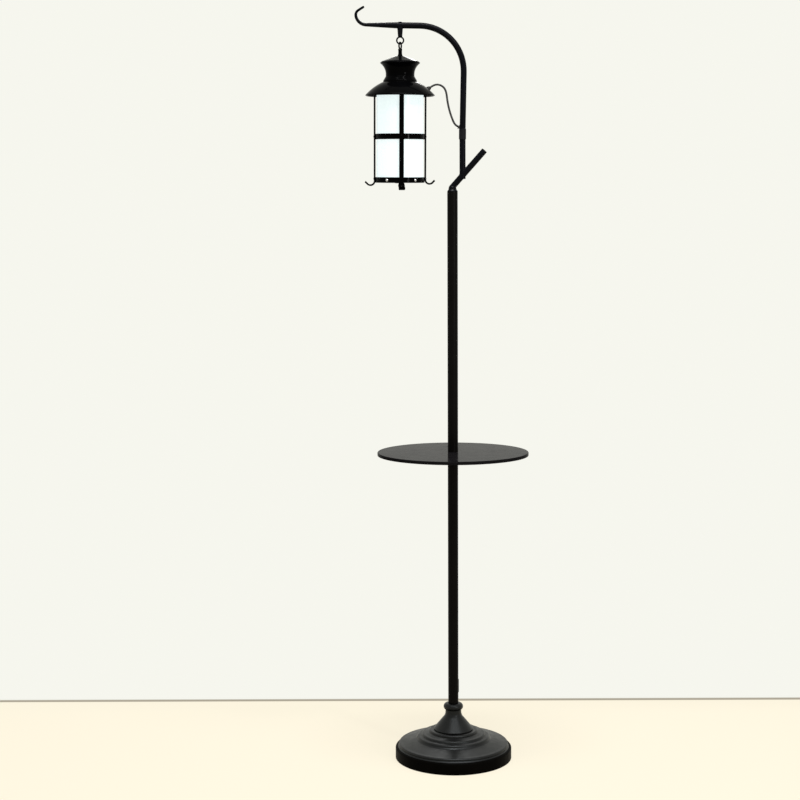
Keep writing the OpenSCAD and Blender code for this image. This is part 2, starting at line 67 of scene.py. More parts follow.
# ---- The short cord between the arm and the lantern ----
# A black rubber flex, four millimetres thick. It leaves the upright over the sleeve, rises along
# the glass, arches over the roof's edge and ends in the gland, with slack for the lantern's swing.
MM = 0.001
cord_route = [
    (11.78, 0, 1267.6), (7.8, 0, 1269.7), (4.5, 0.3, 1273.1), (1.7, 0.9, 1278.4), (-0.9, 2, 1285.1),
    (-3.4, 3.7, 1292.6), (-5.6, 5.8, 1300.4), (-7.4, 8, 1308.2), (-8.8, 10.2, 1316),
    (-9.8, 12.4, 1323.6), (-10.6, 14.6, 1331), (-12, 16.8, 1338.1), (-15.2, 18.8, 1344.6),
    (-20.4, 20.3, 1349.1), (-26.6, 21.2, 1351.4), (-33, 21.5, 1351), (-38.7, 21.1, 1348.5),
    (-42.67, 20.19, 1345.61),
]


def keep(name, mesh, finish, smooth=35):
    """A finished piece, with its place in its mesh and its edges crisp over the given angle."""
    mesh.materials.clear()
    mesh.materials.append(finish)
    mesh.shade_smooth()
    mesh.set_sharp_from_angle(angle=radians(smooth))
    piece = bpy.data.objects.new(name, mesh)
    scene.collection.objects.link(piece)
    return piece


def bar_along(name, points, radii, finish, sides=24, steps=6):
    """A round bar bent along a route in millimetres, with a radius at each point."""
    line = bpy.data.curves.new(name, "CURVE")
    line.dimensions = "3D"
    line.bevel_depth = MM
    line.bevel_resolution = sides // 4 - 2
    line.resolution_u = steps
    line.use_fill_caps = True
    line.twist_mode = "MINIMUM"
    run = line.splines.new("NURBS")
    run.points.add(len(points) - 1)
    for place, point, radius in zip(run.points, points, radii):
        place.co = (*(MM * x for x in point), 1)
        place.radius = radius
    run.use_endpoint_u = True
    run.order_u = 3
    made = bpy.data.objects.new(name, line)
    mesh = bpy.data.meshes.new_from_object(made)
    bpy.data.objects.remove(made)
    bm = bmesh.new()
    bm.from_mesh(mesh)
    bmesh.ops.remove_doubles(bm, verts=bm.verts, dist=1e-6)
    bmesh.ops.recalc_face_normals(bm, faces=bm.faces)
    bm.to_mesh(mesh)
    bm.free()
    return keep(name, mesh, finish)


def blank(name, roughness, specular, metallic=0.0):
    """A new material: its node tree and its shader, with the plain values set on the shader."""
    material = bpy.data.materials.new(name)
    material.use_nodes = True
    tree = material.node_tree
    shader = tree.nodes["Principled BSDF"]
    shader.inputs["Roughness"].default_value = roughness
    shader.inputs["Specular IOR Level"].default_value = specular
    shader.inputs["Metallic"].default_value = metallic
    return material, tree, shader


def node(tree, kind, inputs=(), **settings):
    """A node with its settings, and its sockets filled with values or with other sockets."""
    made = tree.nodes.new("ShaderNode" + kind)
    for key, value in settings.items():
        setattr(made, key, value)
    for key, value in dict(inputs).items():
        if isinstance(value, bpy.types.NodeSocket):
            tree.links.new(value, made.inputs[key])
        else:
            made.inputs[key].default_value = value
    return made


def noise(tree, scale, detail=3.0, stretch=(1, 1, 1)):
    """Noise in the object's own space; scale is in grains per metre."""
    place = node(tree, "TexCoord").outputs["Object"]
    placed = node(tree, "Mapping", {"Vector": place, "Scale": stretch}).outputs["Vector"]
    grain = node(tree, "TexNoise", {"Vector": placed, "Scale": scale, "Detail": detail})
    return grain.outputs["Fac"]


def spread(tree, value, low, high):
    """A noise value, which lies mostly between 0.3 and 0.7, spread between two numbers."""
    ranged = node(tree, "MapRange", {"Value": value, "From Min": 0.3, "From Max": 0.7,
                                     "To Min": low, "To Max": high})
    return ranged.outputs["Result"]


def tinted(tree, shader, value, dark, light):
    """The surface's colour, varied between two tones by a noise value."""
    mixed = node(tree, "Mix", data_type="RGBA")
    tree.links.new(spread(tree, value, 0, 1), mixed.inputs[0])
    mixed.inputs[6].default_value = (*dark, 1)
    mixed.inputs[7].default_value = (*light, 1)
    tree.links.new(mixed.outputs[2], shader.inputs["Base Color"])


def bumped(tree, shader, height, depth, under=None):
    """A bump of that many metres on the shader's normal."""
    bump = node(tree, "Bump", {"Height": height, "Distance": depth})
    if under:
        tree.links.new(under, bump.inputs["Normal"])
    tree.links.new(bump.outputs["Normal"], shader.inputs["Normal"])
    return bump.outputs["Normal"]


def rubber(name, tone, grain):
    """Moulded black rubber: dull, slightly dusty, with a fine even grain."""
    material, tree, shader = blank(name, 0.6, 0.25)
    dusty = noise(tree, 260, 4)
    tinted(tree, shader, dusty, (tone * 0.8,) * 3, (tone * 1.5, tone * 1.45, tone * 1.4))
    tree.links.new(spread(tree, dusty, 0.52, 0.68), shader.inputs["Roughness"])
    bumped(tree, shader, noise(tree, grain, 2), 0.00004)
    return material


cord_d = 4
flex = bar_along("short_flex", cord_route, [cord_d / 2] * len(cord_route),
                 rubber("flex_rubber", 0.012, 1500), sides=16, steps=5)
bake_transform(flex)
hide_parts("head_cord")

# ---- Base cover ----
# Sheet metal spun over a form: an upright rim, a rolled bead, a wide sloping band and three
# ridges that step up to the collar. Sprayed in a satin metallic lacquer, dark as old pewter. The
# rim is matt black: a duller copy of the lacquer, whose darker colour is painted shade.
base_r = 117.5
rim_h = 21
rim_round = 2.5
shoulder = (base_r - 5, 24)
base_top = 58.5
cover_wall = 1.2
cover_steps = 192


def arc(centre, r, start, end, n=8):
    """Points of (radius, height) on an arc round a centre, between two angles in degrees."""
    turns = [radians(start + (end - start) * i / n) for i in range(n + 1)]
    return [(centre[0] + r * cos(a), centre[1] + r * sin(a)) for a in turns]


def turned(outline, closed=False, place=None, steps=128):
    """A mesh turned about an upright axis from an outline of (radius, height) in millimetres."""
    ring = list(outline) + (list(outline[:1]) if closed else [])
    # a long straight gets a point close to each of its ends, so that it is shaded flat
    long_run = 2
    hold = 0.4
    held = []
    for (r0, z0), (r1, z1) in zip(ring, ring[1:]):
        run = hypot(r1 - r0, z1 - z0)
        shares = (0, hold / run, 1 - hold / run) if run > long_run else (0,)
        held += [(r0 + (r1 - r0) * t, z0 + (z1 - z0) * t) for t in shares]
    held += [] if closed else [ring[-1]]
    bm = bmesh.new()
    line = [bm.verts.new((MM * r, 0, MM * z)) for r, z in held]
    pairs = list(zip(line, line[1:])) + ([(line[-1], line[0])] if closed else [])
    edges = [bm.edges.new(pair) for pair in pairs]
    bmesh.ops.spin(bm, geom=line + edges, cent=(0, 0, 0), axis=(0, 0, 1), angle=2 * pi,
                   steps=steps, use_merge=True)
    bmesh.ops.remove_doubles(bm, verts=bm.verts, dist=1e-6)
    bmesh.ops.recalc_face_normals(bm, faces=bm.faces)
    if place:
        bmesh.ops.transform(bm, matrix=place, verts=bm.verts)
    mesh = bpy.data.meshes.new("turned")
    bm.to_mesh(mesh)
    bm.free()
    return mesh


def set_on(piece, body, slot, *nodes):
    """The piece moves with a body and stands for the CAD nodes; slot is not used."""
    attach(piece, body)
    if nodes:
        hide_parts(*nodes)
    return piece


def lacquer(name, dark, light, roughness, specular, peel, spun=0.0):
    """Sprayed lacquer: two close tones in clouds, wiping marks, orange peel and, if spun, tool rings."""
    material, tree, shader = blank(name, roughness, specular)
    clouds = noise(tree, 22, 4)
    tinted(tree, shader, clouds, dark, light)
    wiped = noise(tree, 75, 5, (1, 1, 0.35))
    tree.links.new(spread(tree, wiped, roughness - 0.05, roughness + 0.06), shader.inputs["Roughness"])
    level = bumped(tree, shader, noise(tree, 1100, 2), peel)
    if spun:
        place = node(tree, "SeparateXYZ", {"Vector": node(tree, "TexCoord").outputs["Object"]}).outputs
        across = node(tree, "CombineXYZ", {"X": place["X"], "Y": place["Y"]})
        out = node(tree, "VectorMath", {"Vector": across.outputs[0]}, operation="LENGTH")
        rings = node(tree, "TexNoise", {"W": out.outputs["Value"], "Scale": 900, "Detail": 2},
                     noise_dimensions="1D")
        bumped(tree, shader, rings.outputs["Fac"], spun, under=level)
    return material


pewter = lacquer("pewter_lacquer", (0.0020, 0.0018, 0.0018), (0.0034, 0.0034, 0.0037), 0.38, 0.2,
                 peel=0.00001, spun=0.00001)
pewter.node_tree.nodes["Principled BSDF"].inputs["Specular Tint"].default_value = (0.92, 0.98, 1.0, 1)
rim_outline = [(base_r, 1), (base_r, rim_h)]
rim_outline += arc((base_r - rim_round, rim_h), rim_round, 0, 80) + [shoulder]
cover_outline = (
    [shoulder, (base_r - 6.2, 25.6)]
    + arc((107.6, 28.4), 3.4, -35, 72, 12)
    + [(103, 32.6), (79.5, 38.6), (76, 39.6), (74.4, 41)]
    + arc((69.4, 42), 4.2, 5, 75, 10)
    + [(66.6, 46.8), (65, 47.2)]
    + arc((60.6, 47.6), 3.9, 8, 80, 10)
    + [(57, 52), (51.4, 53.6)]
    + arc((45.6, 54.7), 3.8, -8, 90, 12)
    + [(12, base_top)]
)


def with_inside(outline):
    """The outline of a sheet: its outer line, and back along the inner one."""
    return outline + [(r - cover_wall, z - cover_wall if z > rim_h else z) for r, z in reversed(outline)]


set_on(keep("spun_cover", turned(with_inside(cover_outline), closed=True, steps=cover_steps), pewter, 40),
       "stand", "pewter_paint", "base_cover")
# the rim's own lacquer: low gloss, and darker than the cover's as painted shade
shaded_rim_lacquer = lacquer("matt_rim_lacquer_painted_shade", (0.0010, 0.0009, 0.0007), (0.0018, 0.0015, 0.0012), 0.42, 0.01,
               peel=0.00001)
set_on(keep("cover_rim", turned(with_inside(rim_outline), closed=True, steps=cover_steps), shaded_rim_lacquer, 40),
       "stand", "pewter_paint")

# ---- Collar ----
# Turned from solid: a thin lip on the cover, a hollow cone, a neck and a rounded bead that hides
# where the pole goes in. Sprayed together with the cover.
collar_r = 39.7
collar_bore = 10.4
neck_r = 16.1
neck_z = base_top + 36
bead_z = base_top + 47.1
collar_outline = (
    [(collar_bore, base_top), (collar_r - 1, base_top)]
    + arc((collar_r - 1.4, base_top + 1.6), 1.4, -60, 60, 8)
    + arc((neck_r + 16, neck_z), 16, 225, 180, 14)
    + arc((12.6, bead_z), 7.2, -64, 90, 18)
    + [(collar_bore, base_top + 54.3)]
)
set_on(keep("turned_collar", turned(collar_outline, closed=True), pewter, 40),
       "stand", "pewter_paint", "collar")

# ---- What holds the base together ----
# A cast disc gives the base its weight, with felt glued under it; a stud, a washer and a nut clamp
# disc, cover and collar to the plug in the pole's foot. The felt shows only from below.
cast, tree, shader = blank("primed_iron", 0.75, 0.3)
coarse = noise(tree, 420, 5)
tinted(tree, shader, coarse, (0.010, 0.010, 0.010), (0.030, 0.029, 0.028))
bumped(tree, shader, coarse, 0.0003)
felt, tree, shader = blank("needled_felt", 0.95, 0.1)
fluff = noise(tree, 1500, 6)
tinted(tree, shader, fluff, (0.010, 0.010, 0.011), (0.030, 0.029, 0.030))
bumped(tree, shader, fluff, 0.0004)
shader.inputs["Sheen Weight"].default_value = 0.3
zinc, tree, shader = blank("zinc_plate", 0.32, 0.5, 1.0)
spangle = noise(tree, 340, 3)
tinted(tree, shader, spangle, (0.42, 0.43, 0.45), (0.62, 0.62, 0.63))
tree.links.new(spread(tree, spangle, 0.24, 0.42), shader.inputs["Roughness"])
bumped(tree, shader, noise(tree, 2500, 2), 0.00001)


def refinish(finish, *names):
    """CAD nodes that stay as they are get their finish."""
    for name in names:
        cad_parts[name].data.materials.clear()
        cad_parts[name].data.materials.append(finish)


refinish(cast, "base_weight")
refinish(felt, "base_pad")
refinish(zinc, "base_stud", "base_washer", "base_nut", "lower_pole_foot", "lower_pole_head",
         "upper_pole_foot", "table_hub", "table_stud", "frame_nut")

# ---- Pole ----
# Two lengths of drawn steel tube, one under and one over the table, with broken edges. They have
# a brown-black semi-gloss lacquer.
pole_r = 10.3
pole_wall = 1.5
table_z = 626
table_edge = 6.4
pole_top = 1141.5


def tube(r, wall, low, high, place=None, steps=96, ease=0.4):
    """A length of tube with broken edges, upright unless it is placed otherwise."""
    bore = r - wall
    outline = [
        (bore, low), (r - ease, low), (r, low + ease), (r, high - ease), (r - ease, high), (bore, high),
    ]
    return turned(outline, closed=True, place=place, steps=steps)


pole_lacquer = lacquer("pole_lacquer", (0.0025, 0.0021, 0.0018), (0.0034, 0.0030, 0.0028), 0.34, 0.03,
                       peel=0.00001)
set_on(keep("under_pole", tube(pole_r, pole_wall, base_top + 0.1, table_z - table_edge), pole_lacquer),
       "stand", "pole_paint", "lower_pole")
set_on(keep("over_pole", tube(pole_r, pole_wall, table_z, pole_top), pole_lacquer),
       "stand", "pole_paint", "upper_pole")

# ---- Outlet for the mains lead ----
# An oval rubber bush on the back of the pole, a hand's width over the base. Its edge is rounded,
# its back is let into the pole, and a shallow recess takes the lead.
outlet_z = 146.5
outlet_half_l = 16.3
outlet_half_w = 5
outlet_out = 12.2
outlet_block = 9
outlet_turn = 45
outlet_edge = 1.4
recess_rim = 1.3
recess_depth = 2
soft_black = rubber("moulded_rubber", 0.010, 900)
bm = bmesh.new()
bmesh.ops.create_cube(bm, size=1)
bmesh.ops.scale(bm, vec=(MM * outlet_block, MM * 2 * outlet_half_w, MM * 2 * outlet_half_l), verts=bm.verts)
# the ends are nearly half circles
ends = [e for e in bm.edges if abs((e.verts[0].co - e.verts[1].co).x) > MM]
bmesh.ops.bevel(bm, geom=ends, offset=MM * (outlet_half_w - 0.02), segments=10, profile=0.5,
                affect="EDGES", material=-1)
front = max(bm.faces, key=lambda f: f.calc_center_median().x)
bmesh.ops.bevel(bm, geom=list(front.edges), offset=MM * outlet_edge, segments=4, profile=0.5,
                affect="EDGES", material=-1)
front = max(bm.faces, key=lambda f: f.calc_center_median().x)
bmesh.ops.inset_region(bm, faces=[front], thickness=MM * recess_rim)
front = max((f for f in bm.faces if f.normal.x > 0.9), key=lambda f: f.calc_area())
sunk = bmesh.ops.extrude_face_region(bm, geom=[front])
bmesh.ops.delete(bm, geom=[front], context="FACES_ONLY")
bmesh.ops.translate(bm, verts=[v for v in sunk["geom"] if isinstance(v, bmesh.types.BMVert)],
                    vec=(-MM * recess_depth, 0, 0))
outlet_place = (Matrix.Rotation(radians(outlet_turn), 4, "Z")
                @ Matrix.Translation((MM * (outlet_out - outlet_block / 2), 0, MM * outlet_z)))
bmesh.ops.transform(bm, matrix=outlet_place, verts=bm.verts)
bmesh.ops.recalc_face_normals(bm, faces=bm.faces)
mesh = bpy.data.meshes.new("outlet")
bm.to_mesh(mesh)
bm.free()
set_on(keep("lead_outlet", mesh, soft_black, 50), "stand", "black_rubber", "cable_outlet")

# ---- Table ----
# A steel disc pressed to a flat tray turned upside down, its edge rolled over and down. Black gloss
# lacquer, smooth enough to mirror the pole, with fine dust and wiping marks.
table_r = 151
table_sheet = 1.2
table_roll = 1.6
table_lip = 0.6
table_hole = 5.6
under = table_z - table_edge
gloss, tree, shader = blank("table_gloss", 0.16, 0.004)
wiped = noise(tree, 45, 6)
tinted(tree, shader, wiped, (0.0050, 0.0046, 0.0052), (0.0075, 0.0070, 0.0078))
tree.links.new(spread(tree, wiped, 0.12, 0.2), shader.inputs["Roughness"])
bumped(tree, shader, noise(tree, 700, 3), 0.000008)
table_outline = (
    [(table_hole, table_z - table_sheet), (table_hole, table_z)]
    + arc((table_r - table_roll, table_z - table_roll), table_roll, 90, 0, 10)
    + arc((table_r - table_lip, under + table_lip), table_lip, 0, -180, 10)
    + arc((table_r - table_roll, table_z - table_roll), table_roll - table_sheet, 0, 90, 4)
)
set_on(keep("pressed_table", turned(table_outline, closed=True, steps=256), gloss),
       "stand", "table_lacquer", "table_top")

# ---- Pole's cap ----
# Turned plug on the end of the pole: a sloping shoulder, a neck with a fine groove and a low dome
# that the branch is let into.
plug_r = 8.7
plug_foot = pole_top - 15
cap_neck = 7.8
plug_outline = (
    [(0, plug_foot), (plug_r, plug_foot), (plug_r, pole_top), (pole_r, pole_top), (pole_r, pole_top + 1)]
    + [(cap_neck, pole_top + 4.4), (cap_neck, pole_top + 6.4), (cap_neck - 0.7, pole_top + 6.8)]
    + [(cap_neck - 0.7, pole_top + 7.2), (cap_neck, pole_top + 7.6)]
    + arc((0, pole_top + 5.2), cap_neck + 0.3, 20, 90, 10)
)
gunmetal = lacquer("arm_lacquer", (0.0014, 0.0016, 0.0026), (0.0024, 0.0026, 0.0042), 0.3, 0.04,
                   peel=0.000006)
set_on(keep("pole_plug", turned(plug_outline, steps=96), gunmetal, 30), "stand", "pole_paint", "pole_cap")

# ---- Branch and short upright ----
# Two lengths of half-inch tube. The branch leans out of the pole's cap and is closed with a flat
# disc; the upright stands on it, cut to fit and welded all round.
arm_r = 6
arm_wall = 1
upright_x = 19.9
branch_lean = 41.7
branch_l = 95
branch_z = pole_top + 9
joint_z = 1253
seam_steps = 24
weld_r = 0.9
leaning = Matrix.Translation((0, 0, MM * branch_z)) @ Matrix.Rotation(radians(branch_lean), 4, "Y")
on_upright = Matrix.Translation((MM * upright_x, 0, 0))
branch_outline = [
    (0, -3), (arm_r, -3), (arm_r, branch_l - 0.5), (arm_r - 0.5, branch_l), (arm_r - 1, branch_l),
    (arm_r - 1.15, branch_l - 0.2), (arm_r - 1.3, branch_l), (0, branch_l),
]
set_on(keep("leaning_branch", turned(branch_outline, place=leaning, steps=64), gunmetal),
       "stand", "arm_paint", "branch")
stub_foot = branch_z + (upright_x - arm_r) / sin(radians(branch_lean)) * cos(radians(branch_lean))
set_on(keep("short_upright", tube(arm_r, arm_wall, stub_foot, joint_z, on_upright, 64), gunmetal),
       "stand", "arm_paint", "arm_stub")
lean = radians(branch_lean)
seam = []
for i in range(seam_steps + 1):
    turn = 2 * pi * i / seam_steps
    x = upright_x + arm_r * cos(turn)
    y = arm_r * sin(turn)
    # height at which the upright's wall meets the branch's skin
    rise = sqrt(max((arm_r + 0.05) ** 2 - y * y, 0)) / sin(lean)
    seam.append((x, y, branch_z + x / (sin(lean) / cos(lean)) + rise))
set_on(bar_along("weld_bead", seam, [weld_r] * len(seam), gunmetal, sides=12, steps=3),
       "stand", "arm_paint")

# ---- Sleeve ----
# A short steel tube that slides over the joint of the two uprights and lets the arm be taken
# apart. Its satin lacquer is a little lighter than the arm's.
sleeve_h = 20
sleeve_r = 7
sleeve_wall = 0.8
arm_lean = 1.2


def over_joint(lean):
    """The frame at the joint, leaned a little to the right."""
    return Matrix.Translation((MM * upright_x, 0, MM * joint_z)) @ Matrix.Rotation(radians(lean), 4, "Y")


satin = lacquer("sleeve_lacquer", (0.0060, 0.0060, 0.0078), (0.0095, 0.0096, 0.0120), 0.4, 0.05,
                peel=0.000006)
sleeve = tube(sleeve_r, sleeve_wall, -sleeve_h / 2, sleeve_h / 2, over_joint(arm_lean / 2), 64)
set_on(keep("joint_sleeve", sleeve, satin), "stand", "arm_paint", "arm_sleeve")

# ---- Arm ----
# The same tube, bent cold through a quarter turn over a former, level at the top, where the forged
# hook is plugged in and carries its line on.
arm_z = 1460.5
bend_r = 87
bend_x = upright_x - bend_r
bend_z = arm_z - bend_r
reach = 101.4
taper_past = 8
arm_rise = arm_z - joint_z
hanger_run = (reach + upright_x + arm_rise * sin(radians(arm_lean))) / cos(radians(arm_lean))
hanger_z = joint_z + hanger_run * sin(radians(arm_lean)) + arm_rise * cos(radians(arm_lean))
taper_x = upright_x - hanger_run - taper_past
leaned = over_joint(arm_lean) @ Matrix.Translation((-MM * upright_x, 0, -MM * joint_z))
bend = [(bend_x + bend_r * cos(radians(a)), 0, bend_z + bend_r * sin(radians(a))) for a in range(0, 91, 5)]
arm_route = [(upright_x, 0, joint_z), (upright_x, 0, joint_z + 60), (upright_x, 0, bend_z - 6)] + bend
arm_route += [(bend_x - 6, 0, arm_z), (taper_x, 0, arm_z)]
arm = bar_along("bent_arm", arm_route, [arm_r] * len(arm_route), gunmetal, sides=48)
arm.data.transform(leaned)
set_on(arm, "stand", "arm_paint", "arm_tube")

# ---- Hook ----
# Forged from round bar: a long taper, a wide curl, a tighter turn and a short straight tip that
# ends round. A plug behind the taper is pressed into the tube.
hook_past = 66.2
hook_x = upright_x - hanger_run - hook_past
hook_d = 6.8
hook_tip_d = 4.4
hook_r = 20.5
hook_turn_r = 10.5
turn_from = 190
turn_to = 123
curl = (hook_x, arm_z + hook_r)
turn = (curl[0] + (hook_r - hook_turn_r) * cos(radians(turn_from)),
        curl[1] + (hook_r - hook_turn_r) * sin(radians(turn_from)))
hook_line = arc(curl, hook_r, 270, turn_from, 12) + arc(turn, hook_turn_r, turn_from - 8, turn_to, 8)
tip = hook_line[-1]
tip_dir = (sin(radians(turn_to)), -cos(radians(turn_to)))
hook_line += [(tip[0] + s * tip_dir[0], tip[1] + s * tip_dir[1]) for s in (4, 8, 12, 13, 13.5, 13.6)]
last = len(hook_line) - 1
hook_radii = [hook_d / 2 + (hook_tip_d - hook_d) / 2 * i / last for i in range(last + 1)]
hook_radii[-3:] = [1.95, 1.15, 0.15]
taper_l = taper_x - hook_x
taper_shares = (0, 0.07, 0.28, 0.5, 0.75, 0.93)
taper = [(taper_x - taper_l * t, arm_z) for t in taper_shares]
taper_radii = [arm_r + (hook_d / 2 - arm_r) * t for t in taper_shares]
hook = bar_along("forged_hook", [(x, 0, z) for x, z in taper + hook_line], taper_radii + hook_radii,
                 gunmetal, sides=32)
hook.data.transform(leaned)
set_on(hook, "stand", "arm_paint", "arm_hook")

# ---- Hanger ----
# A tapered steel stud under the arm, riveted over on top, with an eye of round wire closed at its
# end. It has the arm's lacquer.
eye_r = 6.6
wire_r = 1.54
eye_z = 1434.2
hang = Matrix.Translation((-MM * reach, 0, 0))


def wire_eye(axis, height, turn=0.0):
    """A ring of round wire that stands upright on an axis at a height, turned in degrees."""
    ring = [(eye_r + wire_r * cos(2 * pi * i / 20), wire_r * sin(2 * pi * i / 20)) for i in range(20)]
    place = (axis @ Matrix.Translation((0, 0, MM * height)) @ Matrix.Rotation(radians(turn), 4, "Z")
             @ Matrix.Rotation(radians(90), 4, "X"))
    return turned(ring, closed=True, place=place, steps=72)


def joined(*meshes):
    """Several meshes as one."""
    bm = bmesh.new()
    for mesh in meshes:
        bm.from_mesh(mesh)
    made = bpy.data.meshes.new("joined")
    bm.to_mesh(made)
    bm.free()
    return made


stud_outline = [
    (0, eye_z + 6), (2.8, eye_z + 6.1), (3.3, eye_z + 6.6), (4.3, eye_z + 7.6), (5.3, hanger_z - 7.4),
    (5.8, hanger_z - 6.2), (5.8, hanger_z - 3), (0, hanger_z - 3),
]
stud = turned(stud_outline, place=hang, steps=48)
peened = turned([(0, hanger_z + arm_r - 1.5), (5, hanger_z + arm_r - 1.5)]
                + arc((0, hanger_z + arm_r - 5.2), 6.6, 42, 90, 8), place=hang, steps=48)
set_on(keep("hanger", joined(stud, peened, wire_eye(hang, eye_z)), gunmetal),
       "stand", "arm_paint", "hanger_eye")

# ---- Grommet ----
# A ring of soft black rubber, pressed into the hole over the sleeve, where the short cord comes
# out and turns upwards.
exit_left = 8.4
exit_z = 1267.4
exit_rise = 26.6
exit_place = (leaned @ Matrix.Translation((MM * (upright_x - exit_left), 0, MM * exit_z))
              @ Matrix.Rotation(radians(exit_rise - 90), 4, "Y"))
grommet_outline = [(0, -4), (2.9, -4), (2.9, -1.6), (4.3, -1.5), (4.4, -0.9)]
grommet_outline += arc((3.6, -0.8), 0.8, 10, 90, 5) + [(2.3, 0), (2.1, -0.3), (0, -0.3)]
grommet = turned(grommet_outline, place=exit_place, steps=40)
set_on(keep("cord_grommet", grommet, soft_black), "stand", "black_rubber", "arm_grommet")

# ---- Lantern's eye, stem and rod ----
# A second eye linked through the first, on a waisted stem. Its rod runs down through cap, chimney,
# roof and plate, and one nut clamps them all. The cord holds the lantern a little off plumb.
lean_back = 3
lean_side = 0.4
cage_turn = 3.5
hinge_z = eye_z - eye_r
hung = (hang @ Matrix.Translation((0, 0, MM * hinge_z)) @ Matrix.Rotation(radians(lean_side), 4, "Y")
        @ Matrix.Rotation(radians(lean_back), 4, "X") @ Matrix.Translation((0, 0, -MM * hinge_z))
        @ Matrix.Rotation(radians(cage_turn), 4, "Z"))
cap_z = 1391.2
stem_z = cap_z + 13
# the rings overlap by two wires, with a hair of play
eye_overlap = 3.1
lower_eye_z = eye_z - 2 * eye_r + eye_overlap
eye_turn = 66.5
enamel = lacquer("black_enamel", (0.0005, 0.0005, 0.0006), (0.0010, 0.0010, 0.0012), 0.13, 0.015,
                 peel=0.000001)
rod_r = 3
rod_foot = 1345.5
stem_outline = [
    (0, rod_foot), (rod_r, rod_foot), (rod_r, stem_z), (4.4, stem_z), (4.8, stem_z + 0.4), (4.8, stem_z + 1),
    (4.1, stem_z + 3.4), (3.8, stem_z + 5), (3.7, stem_z + 9), (3.9, stem_z + 12.2), (4, stem_z + 13.1),
    (3.2, stem_z + 14.2), (0, stem_z + 14.4),
]
stem = turned(stem_outline, place=hung, steps=48)
set_on(keep("lantern_hanger", joined(stem, wire_eye(hung, lower_eye_z, eye_turn)), enamel),
       "lantern", "lantern_black", "lantern_eye")

# ---- Cap, chimney and roof ----
# Three spun shells, black enamelled: a low coned cap with a rolled edge, a chimney drawn in to a
# waist, and a roof with a flat top, a domed skirt and a rolled edge.
cap_r = 39
rod_bore = 3.1
edge_bead = 1
cap_slope = 21
cap_outline = (
    [(rod_bore, cap_z + 13), (8.6, cap_z + 13), (12, cap_z + 11.8), (36.2, cap_z + 3)]
    + arc((cap_r - edge_bead, cap_z), edge_bead, 90 - cap_slope, -205, 12)
    + [(35.7, cap_z + 2), (12, cap_z + 10.6), (8.6, cap_z + 11.9), (rod_bore, cap_z + 11.9)]
)
set_on(keep("coned_cap", turned(cap_outline, closed=True, place=hung, steps=144), enamel, 50),
       "lantern", "lantern_black", "cap")


def degrees_of(ratio):
    """The angle in degrees that has this ratio as its sine."""
    return asin(ratio) * 180 / pi


roof_r = 67.7
roof_z = 1330
roof_sheet = 1.2
dome_r = 101
dome_low = 42
dome_high = 65
dome = (roof_r - dome_r * cos(radians(dome_low)), roof_z - dome_r * sin(radians(dome_low)))
roof_top = dome[1] + dome_r * sin(radians(dome_high))
hub_z = roof_top - roof_sheet
roll_r = 1.5
roll_out = dome_r - roll_r
roll_at = (dome[0] + roll_out * cos(radians(dome_low)), dome[1] + roll_out * sin(radians(dome_low)))
inner_r = dome_r - roof_sheet
inner_high = degrees_of((hub_z - dome[1]) / inner_r)
roof_outline = (
    [(rod_bore, roof_top)]
    + arc(dome, dome_r, dome_high, dome_low, 20)
    + arc(roll_at, roll_r, dome_low - 20, -200, 12)
    + arc(dome, inner_r, dome_low + 1.2, inner_high, 16)
    + [(rod_bore, hub_z)]
)
set_on(keep("spun_roof", turned(roof_outline, closed=True, place=hung, steps=160), enamel, 50),
       "lantern", "lantern_black", "roof")
waist_r = 28.1
waist_z = 1369.4
flare = 25.7
turn_z = 1366.9
turn_r = 5
slope = 31
foot_z = 1358.1
chimney_wall = 1
rise = cap_z - edge_bead - waist_z
chimney_outline = (
    arc((waist_r + flare, waist_z), flare, 180 - degrees_of(rise / flare), 180, 14)
    + arc((waist_r + turn_r, turn_z), turn_r, 180, 180 + slope, 8)
    + [(waist_r + 4.5, foot_z), (waist_r + 5.1, foot_z - 1.7), (waist_r + 5.3, roof_top)]
    + [(waist_r + 4.3, roof_top), (waist_r + 4.1, foot_z - 2), (waist_r + 3.6, foot_z - 0.6)]
    + arc((waist_r + turn_r, turn_z), turn_r + chimney_wall, 180 + slope, 180, 8)
    + arc((waist_r + flare, waist_z), flare + chimney_wall, 180,
          180 - degrees_of(rise / (flare + chimney_wall)), 14)
)
set_on(keep("waisted_chimney", turned(chimney_outline, closed=True, place=hung, steps=144), enamel, 50),
       "lantern", "lantern_black", "chimney")

# ---- Gland ----
# A rubber gland pushed into a hole in the roof's skirt: a flange, and a ribbed taper that keeps
# the cord from kinking.
gland_turn = 11.5
gland_r = 56
gland_z = 1341.3
gland_rise = 35
gland_place = (hung @ Matrix.Rotation(radians(gland_turn), 4, "Z")
               @ Matrix.Translation((MM * gland_r, 0, MM * gland_z))
               @ Matrix.Rotation(radians(90 - gland_rise), 4, "Y"))
gland_outline = [(0, -3), (3.3, -3), (3.3, 0.4), (4.7, 0.8), (5, 1.2), (5, 2.6), (4.6, 3)]
for rib in range(3):
    low = 3.1 + 1.1 * rib
    rib_r = 3.9 - 0.25 * rib
    gland_outline += [(3.5 - 0.15 * rib, low), (rib_r, low + 0.35), (rib_r, low + 0.8)]
gland_outline += [(2.7, 6.5), (2.15, 6.5), (2.05, 6.2), (0, 6.2)]
set_on(keep("ribbed_gland", turned(gland_outline, place=gland_place, steps=40), soft_black),
       "lantern", "black_rubber", "roof_gland")

# ---- Plate under the roof ----
# A pressed plate whose deep rim carries the strips. Its raised hub meets the roof, and six holes
# let the lamp's heat up into the chimney.
plate_sheet = 1.2
cage_r = 48.5
band_t = 1.9
plate_gap = 0.05
plate_z = dome[1] + sqrt(inner_r ** 2 - (cage_r - dome[0]) ** 2) - plate_gap
refinish(enamel, "frame_plate")

